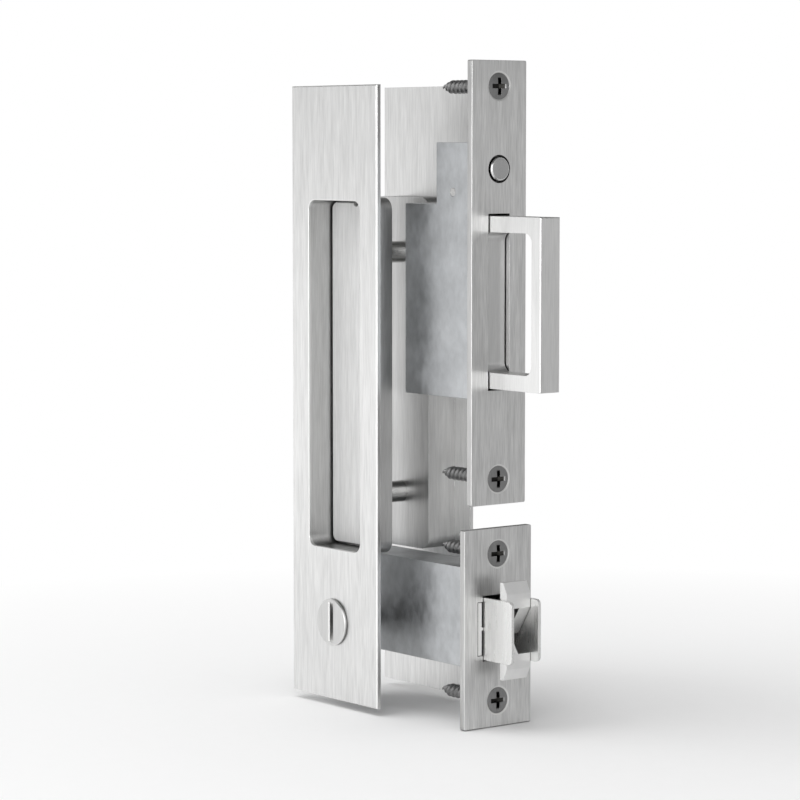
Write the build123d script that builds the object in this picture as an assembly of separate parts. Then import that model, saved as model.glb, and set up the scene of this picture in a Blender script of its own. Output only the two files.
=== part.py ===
from build123d import *
import math
import os

# Pocket lock set: X points out of the edge, Y from the outside face to the inside face, Z up.
# The origin is the bolt's centre in the front of the faceplates. All sizes are millimetres.

# Where the sub-assemblies stand
MOUNT_SPAN = 42.0  # between the backs of the two flush plates
BACKSET = 68.0  # faceplate front to turn axis
TURN_DROP = 4.4  # turn axis below the bolt's centre
FLUSH_OFFSET = 0.6  # flush plates' middle nearer the edge than the turn axis
PLATE_GAP = 8.4  # between the two edge faceplates
EDGE_ABOVE_PULL = 6.6  # edge plate's centre above the pull's centre
BUTTON_ABOVE_PULL = 47.2  # release button's axis above the pull's centre

# Clearances
RUN = 0.06  # turning fit, on the radius
SEAT = 0.05  # rivet, spigot or screw in its hole, on the radius
SLIDE = 0.35  # beside a sliding or swinging face
EASE = 0.3  # bevel on sharp edges
FLUSH_EASE = 0.45  # bevel on the flush plates' rims
FACE_EASE = 0.12  # bevel on the edge faceplates' rims
LIP_RADIUS = 0.5  # rounding where the recess starts

# Flush plates with their finger recess
FLUSH_WIDTH = 51.8
FLUSH_HEIGHT = 227.4
FLUSH_THICK = 1.9
FLUSH_BELOW_TURN = 29.0  # turn axis down to the plate's lower end
CUP_WIDTH = 31.1
CUP_HEIGHT = 128.8
CUP_DEPTH = 10.4  # plate front to the panel's face
CUP_CORNER = 3.5
CUP_WALL = 1.2
CUP_FLOOR = 2.4
CUP_ABOVE_TURN = 27.45  # turn axis up to the recess's lower edge
PANEL_THICK = 1.5
PANEL_GAP = 0.8
PRY_RADIUS = 1.5
POST_SPACING = 90.0
POST_RADIUS = 4.0
POST_SPIGOT_RADIUS = 2.8
FIXING_RADIUS = 2.0
FIXING_HEAD_RADIUS = 3.8
FIXING_LENGTH = 16.0

# Turns, spindle and their clips
DISC_RADIUS = 8.7
DISC_THICK = 1.05
DISC_LIFT = 0.15  # air under the disc
NECK_RADIUS = 6.0
NECK_LENGTH = 4.0  # behind the plate
GROOVE_DEPTH = 0.7
CLIP_THICK = 0.7
CLIP_RADIUS = 8.2
CLIP_MOUTH = 7.0
COIN_SLOT_WIDTH = 2.2
COIN_SLOT_DEPTH = 1.95
COIN_SLOT_LENGTH = 14.8
COIN_SLOT_EASE = 0.45  # bevel along the slot, and its depth at the ends
BLADE_LENGTH = 15.0
BLADE_THICK = 4.4
BLADE_HEIGHT = 5.2
SPINDLE_SIDE = 5.0
SOCKET_DEPTH = 3.5

# Faceplates and wood screws
FACE_THICK = 2.5
FACE_CORNER = 0.6
LOCK_FACE_WIDTH = 31.0
LOCK_FACE_HEIGHT = 71.8
LOCK_SCREW_SPACING = 53.1
EDGE_FACE_WIDTH = 25.0
EDGE_FACE_HEIGHT = 157.8
EDGE_SCREW_SPACING = 139.6
SCREW_HEAD_RADIUS = 4.7
SCREW_RIM_SINK = 0.25  # head's rim behind the faceplate's front
SCREW_DISH = 0.6  # shallow ring round the head in the faceplate
SCREW_CROWN = 0.5
SCREW_TUCK = 0.2  # end of the head's cone behind the faceplate
SCREW_SHANK_RADIUS = 2.5
SCREW_SHANK_LENGTH = 10.0
SCREW_ROOT_RADIUS = 1.9
SCREW_LENGTH = 32.0
CROSS_LENGTH = 6.4
CROSS_WIDTH = 1.6
CROSS_DEPTH = 2.0

# Claw bolt
BOLT_THROW = 15.6  # cheek ends in front of the faceplate
BOLT_TRAVEL = 20.0
CHEEK_HEIGHT = 22.4
CHEEK_THICK = 1.2
CHEEK_INNER = 11.2  # between the cheeks
CLAW_PLAY = 0.15  # claw's side to the cheek
CHEEK_CORNER = 1.8
CLAW_PIVOT = 3.5  # pivot in front of the faceplate
CLAW_EYE_RADIUS = 2.3
CLAW_PIN_RADIUS = 1.2
CLAW_TIP_HEIGHT = 17.5
CLAW_TIP_BACK = 7.7
CLAW_TIP_FRONT = 9.3
CLAW_FACE = 11.4
CLAW_FACE_TOP = 13.4
CLAW_FACE_FOOT = 8.2
CLAW_NECK_HEIGHT = 11.6
ARM_GAP = 0.4  # between the two claws' arms
TAIL_BLOCK_FRONT = -4.0
TAIL_BLOCK_LENGTH = 12.0
TAIL_BLOCK_HEIGHT = 18.0
TAIL_THICK = 3.0
TAIL_BOTTOM = 3.0
TAIL_TOP = 8.4
FORK_BRIDGE = 2.4  # metal above the fork's slot
TAIL_PRONG = 3.0
BOLT_RIVET_RADIUS = 1.5
BOLT_RIVET_SPACING = 10.0

# Lock case and hub
CASE_WALL = 1.2
CASE_TOP = 20.0
CASE_BOTTOM = -13.6
CASE_CORNER = 2.0
OPENING_GAP = 0.25  # beside the cheeks in the faceplate
OPENING_HEADROOM = 0.65  # above and below the cheeks in the faceplate
GUIDE_WIDTH = 1.65
GUIDE_STANDOFF = 0.5  # opening's edge to the guide
GUIDE_HEIGHT = 19.0
GUIDE_GAP = 0.25
GUIDE_NIB = 1.0  # height of the guide's nib
NIB_PLAY = 0.12  # nib to the bolt's side
HUB_RADIUS = 7.0
HUB_BOSS_RADIUS = 5.5
CRANK_THICK = 3.5
CRANK_TIP_RADIUS = 3.0
CRANK_PIN_RADIUS = 1.6
CRANK_PLAY = 0.65  # beside the crank pin in the fork
CRANK_SIDE_GAP = 0.6
PILLAR_RADIUS = 2.2
PILLAR_INSET = 2.8  # pillar axis from the case's inner walls
PILLAR_FRONT = -42.0
CASE_SCREW_RADIUS = 1.25
CASE_SCREW_HEAD_RADIUS = 2.3
CASE_SCREW_HEAD = 1.3
CASE_SCREW_LENGTH = 6.0
LEAF_THICK = 0.5
LEAF_WIDTH = 6.0
LEAF_GAP = 0.3

# Edge pull
PULL_REACH = 27.8  # end face in front of the plate, and its travel
PULL_HEIGHT = 61.2
PULL_THICK = 9.0
PULL_ARM = 5.7
PULL_END_BAR = 4.7
PULL_WINDOW_SINK = 2.2  # window's inner end behind the plate front
PULL_WINDOW_CORNER = 3.5
PULL_GAP_SIDE = 0.4
PULL_GAP_END = 0.8
HEAD_FRONT_GAP = 0.5  # crosshead to the plate's back
HEAD_LENGTH = 5.0
HEAD_EAR = 2.4  # crosshead beyond the pull, at each end
CATCH_CHANNEL = 6.4
CATCH_NOTCH_DEPTH = 1.3
HOUSING_WALL = 1.2
HOUSING_HALF = 7.0
HOUSING_DEPTH = 42.0
CHAMBER_TOP = 8.2  # chamber above the button's axis
CHAMBER_DEPTH = 24.0
FLANGE_LENGTH = 8.0
HOUSING_SCREW_RADIUS = 1.5
HOUSING_SCREW_HEAD_RADIUS = 2.6
HOUSING_SCREW_HEAD = 1.6
HOUSING_SCREW_GRIP = 1.8
PULL_SPRING_RADIUS = 3.1
PULL_SPRING_WIRE = 0.4
PULL_SPRING_TURNS = 7
PEG_RADIUS = 2.2
PEG_LENGTH = 4.0

# Release button and catch
BUTTON_RADIUS = 4.2
BUTTON_ROUND = 0.8  # rounding of the button's rim
BUTTON_HOLE_RADIUS = 5.0
BUTTON_PROUD = 0.9
BUTTON_TRAVEL = 2.5
BUTTON_FLANGE_RADIUS = 5.75
BUTTON_FLANGE = 1.2
STEM_RADIUS = 2.5
STEM_PROUD = 0.5  # stem behind the web
WEB_THICK = 2.0
WEB_DROP = 4.5  # web's lower edge below the button's axis
BUTTON_SPRING_RADIUS = 3.3
BUTTON_SPRING_WIRE = 0.35
BUTTON_SPRING_TURNS = 3
BUTTON_SPRING_SHUT = 4.0  # spring's length with the button pushed home
LEVER_PIVOT_BACK = 2.8  # behind the lever's front
LEVER_PIVOT_DROP = 8.3  # below the button's axis
LEVER_HUB_RADIUS = 3.5
LEVER_THICK = 5.0
LEVER_GAP = 0.2
LEVER_ARM_WIDTH = 4.0
LEVER_ARM_TOP = 3.5  # above the button's axis
CATCH_PIN_RADIUS = 1.5
NOSE_FRONT = -5.2
NOSE_LENGTH = 3.0
NOSE_RIDE = 0.15  # nose above the pull's arm

# Derived places
TURN_X = -BACKSET
TURN_Z = -TURN_DROP
FLUSH_X = TURN_X + FLUSH_OFFSET
FLUSH_BACK = -MOUNT_SPAN / 2
FLUSH_FRONT = FLUSH_BACK - FLUSH_THICK
FLUSH_Z = TURN_Z - FLUSH_BELOW_TURN + FLUSH_HEIGHT / 2
CUP_Z = TURN_Z + CUP_ABOVE_TURN + CUP_HEIGHT / 2
PANEL_FRONT = FLUSH_FRONT + CUP_DEPTH
PANEL_BACK = PANEL_FRONT + PANEL_THICK
CUP_BACK = PANEL_BACK + CUP_FLOOR
POST_ZS = [CUP_Z - POST_SPACING / 2, CUP_Z + POST_SPACING / 2]
CHEEK_OUTER = CHEEK_INNER / 2 + CHEEK_THICK
CASE_HALF = CHEEK_OUTER + SLIDE
CASE_FRONT = -FACE_THICK
SCREW_SINK = FACE_THICK + SCREW_TUCK
CRANK_RADIUS = BOLT_TRAVEL / math.sqrt(2)
FORK_X = TURN_X + BOLT_TRAVEL / 2
TAIL_END = FORK_X - CRANK_PIN_RADIUS - CRANK_PLAY - TAIL_PRONG
CASE_BACK = TAIL_END - BOLT_TRAVEL - 3 * SLIDE
OPENING_HALF = CHEEK_OUTER + OPENING_GAP
OPENING_TOP = CHEEK_HEIGHT / 2 + OPENING_HEADROOM
EDGE_RISE = LOCK_FACE_HEIGHT / 2 + PLATE_GAP + EDGE_FACE_HEIGHT / 2
PULL_RISE = EDGE_RISE - EDGE_ABOVE_PULL
PULL_TOP = PULL_RISE + PULL_HEIGHT / 2
HEAD_FRONT = -FACE_THICK - HEAD_FRONT_GAP
HEAD_BACK = HEAD_FRONT - HEAD_LENGTH
HOUSING_END = PULL_HEIGHT / 2 + HEAD_EAR + SLIDE
BUTTON_RISE = PULL_RISE + BUTTON_ABOVE_PULL
FLANGE_BACK = -FACE_THICK - EASE - BUTTON_FLANGE
WEB_FRONT = FLANGE_BACK - BUTTON_SPRING_SHUT - BUTTON_TRAVEL
STEM_END = WEB_FRONT - WEB_THICK - STEM_PROUD
LEVER_FRONT = STEM_END - LEVER_GAP
LEVER_X = LEVER_FRONT - LEVER_PIVOT_BACK
LEVER_Z = BUTTON_RISE - LEVER_PIVOT_DROP
CHAMBER_END = BUTTON_RISE + CHAMBER_TOP
PULL_SPRING_ZS = [PULL_RISE - PULL_HEIGHT / 4, PULL_RISE + PULL_HEIGHT / 4]
FLANGE_ZS = [
    PULL_RISE - HOUSING_END - HOUSING_WALL - FLANGE_LENGTH / 2,
    CHAMBER_END + HOUSING_WALL + FLANGE_LENGTH / 2,
]


def rect(x_low, x_high, z_low, z_high, corner=0.0):
    """Rectangle between two corners, with rounded corners if asked."""
    width = x_high - x_low
    height = z_high - z_low
    shape = RectangleRounded(width, height, corner) if corner else Rectangle(width, height)
    return Pos((x_low + x_high) / 2, (z_low + z_high) / 2) * shape


def prism_y(profile, y_low, y_high):
    """X-Z profile extruded from y_low to y_high."""
    plane = Plane(origin=(0, y_high, 0), x_dir=(1, 0, 0), z_dir=(0, -1, 0))
    return extrude(plane * profile, y_high - y_low)


def prism_x(profile, x_low, x_high):
    """Y-Z profile extruded from x_low to x_high."""
    plane = Plane(origin=(x_low, 0, 0), x_dir=(0, 1, 0), z_dir=(1, 0, 0))
    return extrude(plane * profile, x_high - x_low)


def rod_y(radius, y_low, y_high, x, z):
    """Round bar along Y."""
    return prism_y(Pos(x, z) * Circle(radius), y_low, y_high)


def rod_x(radius, x_low, x_high, y, z):
    """Round bar along X."""
    return prism_x(Pos(y, z) * Circle(radius), x_low, x_high)


def turned_x(points):
    """Solid of revolution about X from (x, radius) points."""
    outline = make_face(Polyline(*points, close=True))
    return revolve(outline, Axis.X)


def turned_y(points, x, z):
    """Solid of revolution about the line through (x, z) along Y, from (y, radius) points."""
    outline = make_face(Polyline(*[(radius, along) for along, radius in points], close=True))
    return Pos(x, 0, z) * revolve(outline, Axis.Y)


def ease_front(solid, axis, size=EASE):
    """Bevels the rim of the face that lies furthest along an axis."""
    face = solid.faces().sort_by(axis)[-1]
    return chamfer(face.edges(), size)


def other_side(solid):
    """The same piece mirrored to the inside face."""
    return mirror(solid, about=Plane.XZ)


def flush_plate(hole_cutter):
    """Face plate with its drawn recess, the turn's hole and the cutters of its fixings."""
    plate = prism_y(
        rect(
            FLUSH_X - FLUSH_WIDTH / 2,
            FLUSH_X + FLUSH_WIDTH / 2,
            FLUSH_Z - FLUSH_HEIGHT / 2,
            FLUSH_Z + FLUSH_HEIGHT / 2,
        ),
        FLUSH_FRONT,
        FLUSH_BACK,
    )
    plate = ease_front(plate, -Axis.Y, FLUSH_EASE)
    plate += prism_y(cup_outline(CUP_WALL), FLUSH_BACK, CUP_BACK)
    plate -= prism_y(cup_outline(0), FLUSH_FRONT, PANEL_BACK)
    rim = plate.faces().sort_by(Axis.Y)[0].inner_wires()[0].edges()
    plate = fillet(rim, LIP_RADIUS)
    plate -= rod_y(NECK_RADIUS + RUN, FLUSH_FRONT, FLUSH_BACK, TURN_X, TURN_Z)
    for z in POST_ZS:
        plate -= Pos(0, 0, z) * hole_cutter
    return plate


def cup_outline(grow):
    """Recess outline, grown outwards or shrunk."""
    return rect(
        FLUSH_X - CUP_WIDTH / 2 - grow,
        FLUSH_X + CUP_WIDTH / 2 + grow,
        CUP_Z - CUP_HEIGHT / 2 - grow,
        CUP_Z + CUP_HEIGHT / 2 + grow,
        CUP_CORNER + grow,
    )


def recess_panel():
    """Loose panel that covers the fixings, with a half-round pry notch at its top."""
    panel = prism_y(cup_outline(-PANEL_GAP), PANEL_FRONT, PANEL_BACK)
    panel = ease_front(panel, -Axis.Y)
    top = CUP_Z + CUP_HEIGHT / 2 - PANEL_GAP
    return panel - rod_y(PRY_RADIUS, PANEL_FRONT, PANEL_BACK, FLUSH_X, top)


def fixing_post(z):
    """Tapped sleeve from the outside cup's floor to the inside cup's floor."""
    post = rod_y(POST_RADIUS, CUP_BACK, -CUP_BACK, FLUSH_X, z)
    post += rod_y(POST_SPIGOT_RADIUS, PANEL_BACK, CUP_BACK, FLUSH_X, z)
    return post - rod_y(FIXING_RADIUS + SEAT, PANEL_BACK, -CUP_BACK, FLUSH_X, z)


def fixing_profile(grow):
    """Countersunk fixing screw outline from the inside recess, as (y, radius) points."""
    head = -PANEL_BACK
    sink = FIXING_HEAD_RADIUS - FIXING_RADIUS
    return [
        (head, 0),
        (head, FIXING_HEAD_RADIUS + grow),
        (head - sink, FIXING_RADIUS + grow),
        (head - FIXING_LENGTH, FIXING_RADIUS + grow),
        (head - FIXING_LENGTH, 0),
    ]


def fixing_screw(z):
    """Countersunk machine screw with a cross recess."""
    screw = turned_y(fixing_profile(0), FLUSH_X, z)
    recess = cross_recess(CROSS_LENGTH * FIXING_HEAD_RADIUS / SCREW_HEAD_RADIUS)
    return screw - Pos(FLUSH_X, -PANEL_BACK, z) * Rot(0, 0, 90) * recess


def cross_recess(length):
    """Cross-shaped driver recess cut into a head whose crown is at X = 0."""
    taper = make_face(
        Polyline(
            (SCREW_CROWN, length / 2),
            (0, length / 2),
            (-CROSS_DEPTH, length / 5),
            (-CROSS_DEPTH, -length / 5),
            (0, -length / 2),
            (SCREW_CROWN, -length / 2),
            close=True,
        )
    )
    arm = extrude(taper, CROSS_WIDTH / 2, both=True)
    return arm + Rot(90, 0, 0) * arm


def turn_blank():
    """Disc and neck of a turn on the outside plate, with its clip groove and spindle socket."""
    disc_back = FLUSH_FRONT - DISC_LIFT
    disc_front = disc_back - DISC_THICK
    neck_end = FLUSH_BACK + NECK_LENGTH
    groove = clip_front()
    points = [
        (disc_front, 0),
        (disc_front, DISC_RADIUS - EASE),
        (disc_front + EASE, DISC_RADIUS),
        (disc_back, DISC_RADIUS),
        (disc_back, NECK_RADIUS),
        (groove, NECK_RADIUS),
        (groove, NECK_RADIUS - GROOVE_DEPTH),
        (groove + CLIP_THICK, NECK_RADIUS - GROOVE_DEPTH),
        (groove + CLIP_THICK, NECK_RADIUS),
        (neck_end, NECK_RADIUS),
        (neck_end, 0),
    ]
    return turned_y(points, TURN_X, TURN_Z) - spindle_bar(neck_end - SOCKET_DEPTH, neck_end, SEAT)


def clip_front():
    """Front of the clip groove, just behind the plate."""
    return FLUSH_BACK + DISC_LIFT


def coin_turn():
    """Emergency turn with an arc-bottomed coin slot."""
    front = FLUSH_FRONT - DISC_LIFT - DISC_THICK
    back = front + COIN_SLOT_DEPTH
    half = COIN_SLOT_LENGTH / 2
    drop = COIN_SLOT_DEPTH - COIN_SLOT_EASE
    cutter_radius = (half**2 + drop**2) / (2 * drop)
    low_x = TURN_X - COIN_SLOT_WIDTH / 2
    high_x = TURN_X + COIN_SLOT_WIDTH / 2
    cutter = rod_x(cutter_radius, low_x, high_x, back - cutter_radius, TURN_Z)
    cutter &= prism_y(rect(low_x, high_x, TURN_Z - half, TURN_Z + half), front, back)
    bevel = make_face(
        Polyline(
            (low_x - COIN_SLOT_EASE, front),
            (high_x + COIN_SLOT_EASE, front),
            (high_x, front + COIN_SLOT_EASE),
            (low_x, front + COIN_SLOT_EASE),
            close=True,
        )
    )
    cutter += extrude(Plane.XY.offset(TURN_Z - half) * bevel, COIN_SLOT_LENGTH)
    return turn_blank() - cutter


def thumb_turn():
    """Inside turn with a low arched finger blade."""
    turn = other_side(turn_blank())
    base = -(FLUSH_FRONT - DISC_LIFT - DISC_THICK)
    half = BLADE_LENGTH / 2
    arch = make_face(
        [
            Line((base, TURN_Z - half), (base, TURN_Z + half)),
            ThreePointArc(
                (base, TURN_Z + half), (base + BLADE_HEIGHT, TURN_Z), (base, TURN_Z - half)
            ),
        ]
    )
    blade = prism_x(arch, TURN_X - BLADE_THICK / 2, TURN_X + BLADE_THICK / 2)
    crown = [edge for edge in blade.edges() if edge.geom_type == GeomType.CIRCLE]
    return turn + fillet(crown, BLADE_THICK / 4)


def turn_clip():
    """Open ring that holds a turn behind its plate."""
    inner = NECK_RADIUS - GROOVE_DEPTH + SEAT
    ring = Circle(CLIP_RADIUS) - Circle(inner)
    ring -= Pos(0, -CLIP_RADIUS) * Rectangle(CLIP_MOUTH, 2 * CLIP_RADIUS)
    front = clip_front()
    return prism_y(Pos(TURN_X, TURN_Z) * ring, front, front + CLIP_THICK)


def spindle_bar(y_low, y_high, grow=0.0):
    """Square bar on the turn axis."""
    side = SPINDLE_SIDE + 2 * grow
    return prism_y(Pos(TURN_X, TURN_Z) * Rectangle(side, side), y_low, y_high)


def spindle():
    """Square spindle between the two turns."""
    end = -FLUSH_BACK - NECK_LENGTH + SOCKET_DEPTH - SEAT
    return spindle_bar(-end, end)


def lock_hub():
    """Hub with a crank that drives the bolt's fork."""
    hub = rod_y(HUB_RADIUS, SLIDE - CASE_HALF, CASE_HALF - SLIDE, TURN_X, TURN_Z)
    outer = CASE_HALF + CASE_WALL
    hub += rod_y(HUB_BOSS_RADIUS, -outer, outer, TURN_X, TURN_Z)
    pin_x = TURN_X + CRANK_RADIUS * math.sin(math.pi / 4)
    pin_z = TURN_Z + CRANK_RADIUS * math.cos(math.pi / 4)
    ends = Pos(TURN_X, TURN_Z) * Circle(HUB_RADIUS) + Pos(pin_x, pin_z) * Circle(CRANK_TIP_RADIUS)
    arm = make_hull(ends.edges())
    hub += prism_y(arm, CRANK_SIDE_GAP, CRANK_SIDE_GAP + CRANK_THICK)
    hub += rod_y(CRANK_PIN_RADIUS, -TAIL_THICK - CRANK_SIDE_GAP, CRANK_SIDE_GAP, pin_x, pin_z)
    return hub - spindle_bar(-outer, outer, SEAT)


def detent_leaf():
    """Arched leaf spring under the hub, resting on the case's floor."""
    top = TURN_Z - HUB_RADIUS - LEAF_GAP
    half = HUB_RADIUS + PILLAR_RADIUS
    ends = [(TURN_X - half, CASE_BOTTOM), (TURN_X, top - LEAF_THICK), (TURN_X + half, CASE_BOTTOM)]
    raised = [(x, z + LEAF_THICK) for x, z in ends]
    leaf = make_face(
        [
            ThreePointArc(*ends),
            Line(ends[2], raised[2]),
            ThreePointArc(*reversed(raised)),
            Line(raised[0], ends[0]),
        ]
    )
    return prism_y(leaf, -LEAF_WIDTH / 2, LEAF_WIDTH / 2)


def face_plate(width, height, z, screw_spacing):
    """Edge faceplate with bevelled rim and countersunk screw holes."""
    outline = rect(-width / 2, width / 2, z - height / 2, z + height / 2, FACE_CORNER)
    plate = ease_front(prism_x(outline, -FACE_THICK, 0), Axis.X, FACE_EASE)
    for side in (-1, 1):
        plate -= Pos(0, 0, z + side * screw_spacing / 2) * turned_x(screw_sink())
    return plate


def screw_sink():
    """Countersunk hole outline for a wood screw, as (x, radius) points."""
    taper = (SCREW_HEAD_RADIUS - SCREW_SHANK_RADIUS) / (SCREW_SINK - SCREW_RIM_SINK)
    seat = SCREW_HEAD_RADIUS + SEAT
    return [
        (0, 0),
        (0, seat + SCREW_DISH),
        (-SCREW_RIM_SINK, seat),
        (-FACE_THICK, seat - taper * (FACE_THICK - SCREW_RIM_SINK)),
        (-FACE_THICK, 0),
    ]


def wood_screw(z):
    """Raised countersunk wood screw with a cross recess and a plain core under its thread."""
    rim_x = -SCREW_RIM_SINK
    crown_x = rim_x + SCREW_CROWN
    point_start = -SCREW_LENGTH + 3 * SCREW_ROOT_RADIUS
    shank_end = -SCREW_SINK - SCREW_SHANK_LENGTH
    step_end = shank_end - (SCREW_SHANK_RADIUS - SCREW_ROOT_RADIUS)
    outline = make_face(
        [
            ThreePointArc(
                (crown_x, 0),
                (rim_x + SCREW_CROWN * 3 / 4, SCREW_HEAD_RADIUS / 2),
                (rim_x, SCREW_HEAD_RADIUS),
            ),
            Polyline(
                (rim_x, SCREW_HEAD_RADIUS),
                (-SCREW_SINK, SCREW_SHANK_RADIUS),
                (shank_end, SCREW_SHANK_RADIUS),
                (step_end, SCREW_ROOT_RADIUS),
                (point_start, SCREW_ROOT_RADIUS),
                (-SCREW_LENGTH, 0),
                (crown_x, 0),
            ),
        ]
    )
    screw = revolve(outline, Axis.X) - cross_recess(CROSS_LENGTH)
    return Pos(0, 0, z) * screw


def screw_pair(z, spacing):
    """Two wood screws, one at each end of a faceplate."""
    return [wood_screw(z + side * spacing / 2) for side in (-1, 1)]


def bolt_opening(x_low, x_high):
    """Cutter for the bolt's opening."""
    return prism_x(rect(-OPENING_HALF, OPENING_HALF, -OPENING_TOP, OPENING_TOP), x_low, x_high)


def lock_faceplate():
    """Lock's faceplate with the bolt opening and a notch for each guide."""
    plate = face_plate(LOCK_FACE_WIDTH, LOCK_FACE_HEIGHT, 0, LOCK_SCREW_SPACING)
    plate -= bolt_opening(-FACE_THICK, 0)
    half = OPENING_HALF + GUIDE_STANDOFF + GUIDE_WIDTH + GUIDE_GAP
    tall = GUIDE_HEIGHT / 2 + GUIDE_GAP
    return plate - prism_x(rect(-half, half, -tall, tall), -FACE_THICK, 0)


def bolt_guide(side):
    """Wear strip beside the bolt, with a small nib at its middle."""
    inner = OPENING_HALF + GUIDE_STANDOFF
    strip = rect(inner, inner + GUIDE_WIDTH, -GUIDE_HEIGHT / 2, GUIDE_HEIGHT / 2)
    strip += rect(CHEEK_OUTER + NIB_PLAY, inner, -GUIDE_NIB / 2, GUIDE_NIB / 2)
    guide = prism_x(strip, -FACE_THICK, 0)
    return guide if side > 0 else mirror(guide, about=Plane.XZ)


def case_outline(grow):
    """Lock case outline, grown by its wall."""
    return rect(
        CASE_BACK - grow,
        CASE_FRONT,
        CASE_BOTTOM - grow,
        CASE_TOP + grow,
    )


def lock_case():
    """Tray that carries the bolt and hub, open towards its cover."""
    outer = prism_y(case_outline(CASE_WALL), -CASE_HALF - CASE_WALL, CASE_HALF)
    back_edges = outer.edges().filter_by(Axis.Y).group_by(Axis.X)[0]
    outer = fillet(back_edges, CASE_CORNER)
    room = rect(CASE_BACK, CASE_FRONT - CASE_WALL, CASE_BOTTOM, CASE_TOP)
    tray = outer - prism_y(room, -CASE_HALF, CASE_HALF)
    tray -= bolt_opening(CASE_FRONT - CASE_WALL, CASE_FRONT)
    return tray - hub_bore(-CASE_HALF - CASE_WALL, -CASE_HALF)


def hub_bore(y_low, y_high):
    """Cutter for the hub's bearing in a case wall."""
    return rod_y(HUB_BOSS_RADIUS + RUN, y_low, y_high, TURN_X, TURN_Z)


def pillar_places():
    """Pillar axes, two behind the bolt and two at the case's back."""
    xs = (PILLAR_FRONT, CASE_BACK + PILLAR_INSET)
    zs = (CASE_BOTTOM + PILLAR_INSET, CASE_TOP - PILLAR_INSET)
    return [(x, z) for x in xs for z in zs]


def case_cover():
    """Flat cover with the hub's bearing and the screw holes."""
    plate = prism_y(case_outline(CASE_WALL), CASE_HALF, CASE_HALF + CASE_WALL)
    back_edges = plate.edges().filter_by(Axis.Y).group_by(Axis.X)[0]
    plate = fillet(back_edges, CASE_CORNER)
    plate -= hub_bore(CASE_HALF, CASE_HALF + CASE_WALL)
    for x, z in pillar_places():
        plate -= rod_y(CASE_SCREW_RADIUS + SEAT, CASE_HALF, CASE_HALF + CASE_WALL, x, z)
    return plate


def case_pillar(x, z):
    """Tapped pillar between the tray and the cover."""
    pillar = rod_y(PILLAR_RADIUS, -CASE_HALF, CASE_HALF, x, z)
    depth = CASE_SCREW_LENGTH - CASE_WALL + SLIDE
    return pillar - rod_y(CASE_SCREW_RADIUS + SEAT, CASE_HALF - depth, CASE_HALF, x, z)


def case_screw(x, z):
    """Small slotted screw through the cover."""
    top = CASE_HALF + CASE_WALL
    screw = rod_y(CASE_SCREW_HEAD_RADIUS, top, top + CASE_SCREW_HEAD, x, z)
    screw += rod_y(CASE_SCREW_RADIUS, top - CASE_SCREW_LENGTH, top, x, z)
    slot = rect(x - CASE_SCREW_HEAD_RADIUS, x + CASE_SCREW_HEAD_RADIUS, z - EASE, z + EASE)
    return screw - prism_y(slot, top + CASE_SCREW_HEAD / 2, top + CASE_SCREW_HEAD)


def bolt_cheek(side):
    """One of the two side plates of the bolt."""
    back = TAIL_BLOCK_FRONT - TAIL_BLOCK_LENGTH
    outline = rect(back, BOLT_THROW, -CHEEK_HEIGHT / 2, CHEEK_HEIGHT / 2, CHEEK_CORNER)
    inner = CHEEK_INNER / 2
    cheek = prism_y(outline, inner, CHEEK_OUTER)
    cheek -= rod_y(CLAW_PIN_RADIUS + SEAT, inner, inner + CHEEK_THICK / 2, CLAW_PIVOT, 0)
    for z in rivet_heights():
        cheek -= rod_y(BOLT_RIVET_RADIUS + SEAT, inner, CHEEK_OUTER, rivet_x(), z)
    return cheek if side > 0 else mirror(cheek, about=Plane.XZ)


def rivet_x():
    """Middle of the tail block."""
    return TAIL_BLOCK_FRONT - TAIL_BLOCK_LENGTH / 2


def rivet_heights():
    """Heights of the two rivets through the cheeks and the tail block."""
    return [-BOLT_RIVET_SPACING / 2, BOLT_RIVET_SPACING / 2]


def bolt_rivet(z):
    """Flush rivet through both cheeks and the tail block."""
    return rod_y(BOLT_RIVET_RADIUS, -CHEEK_OUTER, CHEEK_OUTER, rivet_x(), z)


def bolt_tail():
    """Block between the cheeks with a bar and a fork for the crank pin."""
    block_back = TAIL_BLOCK_FRONT - TAIL_BLOCK_LENGTH
    half = TAIL_BLOCK_HEIGHT / 2
    block = rect(block_back, TAIL_BLOCK_FRONT, -half, half)
    tail = prism_y(block, -CHEEK_INNER / 2, CHEEK_INNER / 2)
    slot = CRANK_PIN_RADIUS + CRANK_PLAY
    slot_top = TURN_Z + CRANK_RADIUS
    fork_front = FORK_X + slot + TAIL_PRONG
    bar = rect(FORK_X, block_back, TAIL_BOTTOM, TAIL_TOP)
    bar += rect(TAIL_END, fork_front, TAIL_BOTTOM, slot_top + slot + FORK_BRIDGE)
    bar -= rect(FORK_X - slot, FORK_X + slot, TAIL_BOTTOM, slot_top)
    bar -= Pos(FORK_X, slot_top) * Circle(slot)
    tail += prism_y(bar, -TAIL_THICK, 0)
    for z in rivet_heights():
        hole = rod_y(BOLT_RIVET_RADIUS + SEAT, -CHEEK_INNER / 2, CHEEK_INNER / 2, rivet_x(), z)
        tail -= hole
    return tail


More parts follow.
